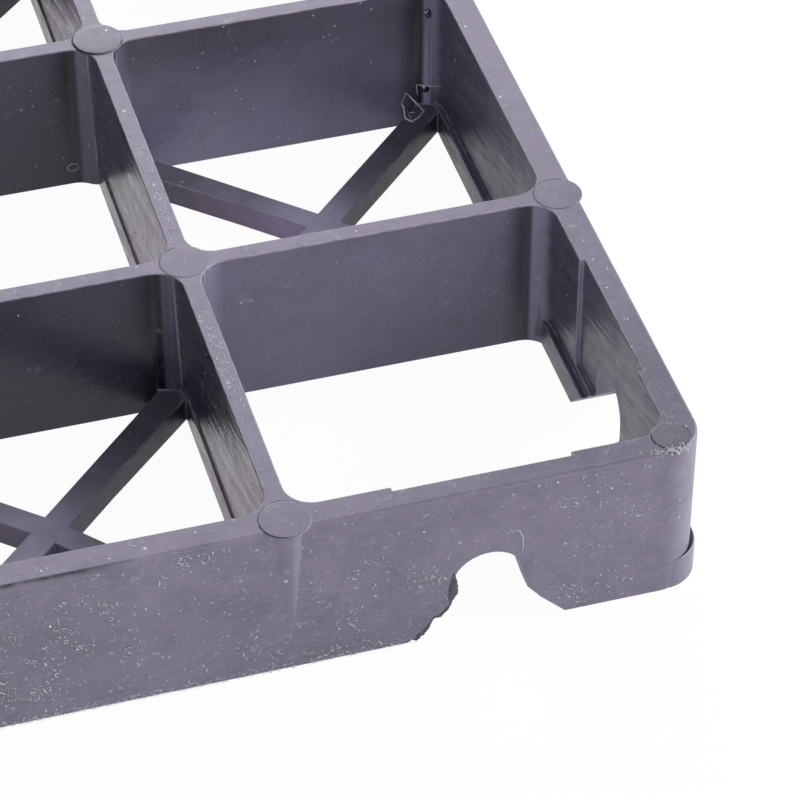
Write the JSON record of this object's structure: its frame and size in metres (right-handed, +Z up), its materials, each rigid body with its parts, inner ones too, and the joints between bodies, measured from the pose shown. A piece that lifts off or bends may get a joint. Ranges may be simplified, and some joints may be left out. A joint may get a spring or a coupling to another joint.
{
  "type": "grass paver grid",
  "caption": "Square moulded plastic grass paver grid: open and cross-braced cells between upright walls, with drain notches at the foot of the rim.",
  "frame": {"origin": "under the middle of the grid, on the plane it rests on", "axes": "+Z up through the cells, +X and +Y along the two directions of the walls; the corner shown in the picture is at +X, -Y"},
  "size_m": [0.501, 0.4964, 0.038],
  "materials": {
    "recycled_plastic": "satin, scuffed"
  },
  "bodies": {
    "root": {"paver_grid": "recycled_plastic"}
  },
  "joints": []
}
